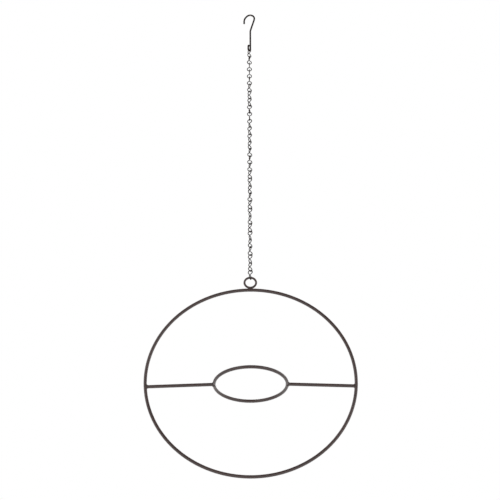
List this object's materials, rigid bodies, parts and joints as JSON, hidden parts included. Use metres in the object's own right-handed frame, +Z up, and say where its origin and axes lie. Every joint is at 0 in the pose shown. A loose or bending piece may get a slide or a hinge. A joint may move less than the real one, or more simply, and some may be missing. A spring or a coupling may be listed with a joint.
{
  "type": "hanging plant pot ring",
  "caption": "Round hanging hoop of dark steel rod with a level pot ring across it, on a chain of figure-eight links and a wire hook.",
  "frame": {"origin": "seat of the hook: the highest point inside its crook, where the object hangs", "axes": "+Z up, X across the hoop, in its plane, with the tip of the hook towards -X, and Y through the hoop"},
  "size_m": [0.4, 0.1427, 1.0762],
  "materials": {
    "hook_steel": "dark brown coated wire, semi-matt",
    "chain_steel": "dark grey-brown wire, worn, semi-matt",
    "frame_steel": "dark brown powder coat, satin",
    "weld_steel": "dark brown powder coat over a rough weld bead"
  },
  "bodies": {
    "hook": {"hook": "hook_steel"},
    "link_01": {"link_01": "chain_steel"},
    "link_02": {"link_02": "chain_steel"},
    "link_03": {"link_03": "chain_steel"},
    "link_04": {"link_04": "chain_steel"},
    "link_05": {"link_05": "chain_steel"},
    "link_06": {"link_06": "chain_steel"},
    "link_07": {"link_07": "chain_steel"},
    "link_08": {"link_08": "chain_steel"},
    "link_09": {"link_09": "chain_steel"},
    "link_10": {"link_10": "chain_steel"},
    "link_11": {"link_11": "chain_steel"},
    "link_12": {"link_12": "chain_steel"},
    "link_13": {"link_13": "chain_steel"},
    "link_14": {"link_14": "chain_steel"},
    "link_15": {"link_15": "chain_steel"},
    "link_16": {"link_16": "chain_steel"},
    "link_17": {"link_17": "chain_steel"},
    "link_18": {"link_18": "chain_steel"},
    "link_19": {"link_19": "chain_steel"},
    "link_20": {"link_20": "chain_steel"},
    "link_21": {"link_21": "chain_steel"},
    "link_22": {"link_22": "chain_steel"},
    "link_23": {"link_23": "chain_steel"},
    "link_24": {"link_24": "chain_steel"},
    "link_25": {"link_25": "chain_steel"},
    "link_26": {"link_26": "chain_steel"},
    "link_27": {"link_27": "chain_steel"},
    "link_28": {"link_28": "chain_steel"},
    "link_29": {"link_29": "chain_steel"},
    "link_30": {"link_30": "chain_steel"},
    "link_31": {"link_31": "chain_steel"},
    "hoop_frame": {"eye_ring": "frame_steel", "eye_weld": "weld_steel", "hoop": "frame_steel", "left_bar": "frame_steel", "right_bar": "frame_steel", "pot_ring": "frame_steel", "left_hoop_weld": "weld_steel", "right_hoop_weld": "weld_steel", "left_ring_weld": "weld_steel", "right_ring_weld": "weld_steel"}
  },
  "joints": [
    {"name": "link_01_swing", "type": "hinge", "parent": "hook", "child": "link_01", "pos_m": [-0.00218, -0.00183, -0.09435], "axis": [0.766, 0.6428, 0], "range_deg": [-60, 60]},
    {"name": "link_02_swing", "type": "hinge", "parent": "link_01", "child": "link_02", "pos_m": [-0.00218, -0.00183, -0.1095], "axis": [-0.2588, 0.9659, 0], "range_deg": [-60, 60]},
    {"name": "link_03_swing", "type": "hinge", "parent": "link_02", "child": "link_03", "pos_m": [-0.00218, -0.00183, -0.1295], "axis": [0.9659, 0.2588, 0], "range_deg": [-60, 60]},
    {"name": "link_04_swing", "type": "hinge", "parent": "link_03", "child": "link_04", "pos_m": [-0.00218, -0.00183, -0.1455], "axis": [0, -1, 0], "range_deg": [-60, 60]},
    {"name": "link_05_swing", "type": "hinge", "parent": "link_04", "child": "link_05", "pos_m": [-0.00218, -0.00183, -0.1655], "axis": [-1, 0, 0], "range_deg": [-60, 60]},
    {"name": "link_06_swing", "type": "hinge", "parent": "link_05", "child": "link_06", "pos_m": [-0.00218, -0.00183, -0.1815], "axis": [-0.4226, 0.9063, 0], "range_deg": [-60, 60]},
    {"name": "link_07_swing", "type": "hinge", "parent": "link_06", "child": "link_07", "pos_m": [-0.00218, -0.00183, -0.2015], "axis": [0.9063, 0.4226, 0], "range_deg": [-60, 60]},
    {"name": "link_08_swing", "type": "hinge", "parent": "link_07", "child": "link_08", "pos_m": [-0.00218, -0.00183, -0.2175], "axis": [0.8192, -0.5736, 0], "range_deg": [-60, 60]},
    {"name": "link_09_swing", "type": "hinge", "parent": "link_08", "child": "link_09", "pos_m": [-0.00218, -0.00183, -0.2375], "axis": [-0.5736, -0.8192, 0], "range_deg": [-60, 60]},
    {"name": "link_10_swing", "type": "hinge", "parent": "link_09", "child": "link_10", "pos_m": [-0.00218, -0.00183, -0.2535], "axis": [-0.9962, 0.0872, 0], "range_deg": [-60, 60]},
    {"name": "link_11_swing", "type": "hinge", "parent": "link_10", "child": "link_11", "pos_m": [-0.00218, -0.00183, -0.2735], "axis": [0.0872, 0.9962, 0], "range_deg": [-60, 60]},
    {"name": "link_12_swing", "type": "hinge", "parent": "link_11", "child": "link_12", "pos_m": [-0.00218, -0.00183, -0.2895], "axis": [0.866, -0.5, 0], "range_deg": [-60, 60]},
    {"name": "link_13_swing", "type": "hinge", "parent": "link_12", "child": "link_13", "pos_m": [-0.00218, -0.00183, -0.3095], "axis": [-0.5, -0.866, 0], "range_deg": [-60, 60]},
    {"name": "link_14_swing", "type": "hinge", "parent": "link_13", "child": "link_14", "pos_m": [-0.00218, -0.00183, -0.3255], "axis": [-0.7071, 0.7071, 0], "range_deg": [-60, 60]},
    {"name": "link_15_swing", "type": "hinge", "parent": "link_14", "child": "link_15", "pos_m": [-0.00218, -0.00183, -0.3455], "axis": [0.7071, 0.7071, 0], "range_deg": [-60, 60]},
    {"name": "link_16_swing", "type": "hinge", "parent": "link_15", "child": "link_16", "pos_m": [-0.00218, -0.00183, -0.3615], "axis": [0.2588, -0.9659, 0], "range_deg": [-60, 60]},
    {"name": "link_17_swing", "type": "hinge", "parent": "link_16", "child": "link_17", "pos_m": [-0.00218, -0.00183, -0.3815], "axis": [-0.9659, -0.2588, 0], "range_deg": [-60, 60]},
    {"name": "link_18_swing", "type": "hinge", "parent": "link_17", "child": "link_18", "pos_m": [-0.00218, -0.00183, -0.3975], "axis": [-0.5736, 0.8192, 0], "range_deg": [-60, 60]},
    {"name": "link_19_swing", "type": "hinge", "parent": "link_18", "child": "link_19", "pos_m": [-0.00218, -0.00183, -0.4175], "axis": [0.8192, 0.5736, 0], "range_deg": [-60, 60]},
    {"name": "link_20_swing", "type": "hinge", "parent": "link_19", "child": "link_20", "pos_m": [-0.00218, -0.00183, -0.4335], "axis": [0.7071, -0.7071, 0], "range_deg": [-60, 60]},
    {"name": "link_21_swing", "type": "hinge", "parent": "link_20", "child": "link_21", "pos_m": [-0.00218, -0.00183, -0.4535], "axis": [-0.7071, -0.7071, 0], "range_deg": [-60, 60]},
    {"name": "link_22_swing", "type": "hinge", "parent": "link_21", "child": "link_22", "pos_m": [-0.00218, -0.00183, -0.4695], "axis": [-0.5736, 0.8192, 0], "range_deg": [-60, 60]},
    {"name": "link_23_swing", "type": "hinge", "parent": "link_22", "child": "link_23", "pos_m": [-0.00218, -0.00183, -0.4895], "axis": [0.8192, 0.5736, 0], "range_deg": [-60, 60]},
    {"name": "link_24_swing", "type": "hinge", "parent": "link_23", "child": "link_24", "pos_m": [-0.00218, -0.00183, -0.5055], "axis": [0.5, -0.866, 0], "range_deg": [-60, 60]},
    {"name": "link_25_swing", "type": "hinge", "parent": "link_24", "child": "link_25", "pos_m": [-0.00218, -0.00183, -0.5255], "axis": [-0.866, -0.5, 0], "range_deg": [-60, 60]},
    {"name": "link_26_swing", "type": "hinge", "parent": "link_25", "child": "link_26", "pos_m": [-0.00218, -0.00183, -0.5415], "axis": [-0.9063, 0.4226, 0], "range_deg": [-60, 60]},
    {"name": "link_27_swing", "type": "hinge", "parent": "link_26", "child": "link_27", "pos_m": [-0.00218, -0.00183, -0.5615], "axis": [0.4226, 0.9063, 0], "range_deg": [-60, 60]},
    {"name": "link_28_swing", "type": "hinge", "parent": "link_27", "child": "link_28", "pos_m": [-0.00218, -0.00183, -0.5775], "axis": [0.4226, -0.9063, 0], "range_deg": [-60, 60]},
    {"name": "link_29_swing", "type": "hinge", "parent": "link_28", "child": "link_29", "pos_m": [-0.00218, -0.00183, -0.5975], "axis": [-0.9063, -0.4226, 0], "range_deg": [-60, 60]},
    {"name": "link_30_swing", "type": "hinge", "parent": "link_29", "child": "link_30", "pos_m": [-0.00218, -0.00183, -0.6135], "axis": [-0.6428, 0.766, 0], "range_deg": [-60, 60]},
    {"name": "link_31_swing", "type": "hinge", "parent": "link_30", "child": "link_31", "pos_m": [-0.00218, -0.00183, -0.6335], "axis": [0.766, 0.6428, 0], "range_deg": [-60, 60]},
    {"name": "frame_swing", "type": "hinge", "parent": "link_31", "child": "hoop_frame", "pos_m": [-0.00218, -0.00183, -0.6483], "axis": [-1, 0, 0], "range_deg": [-60, 60]}
  ]
}
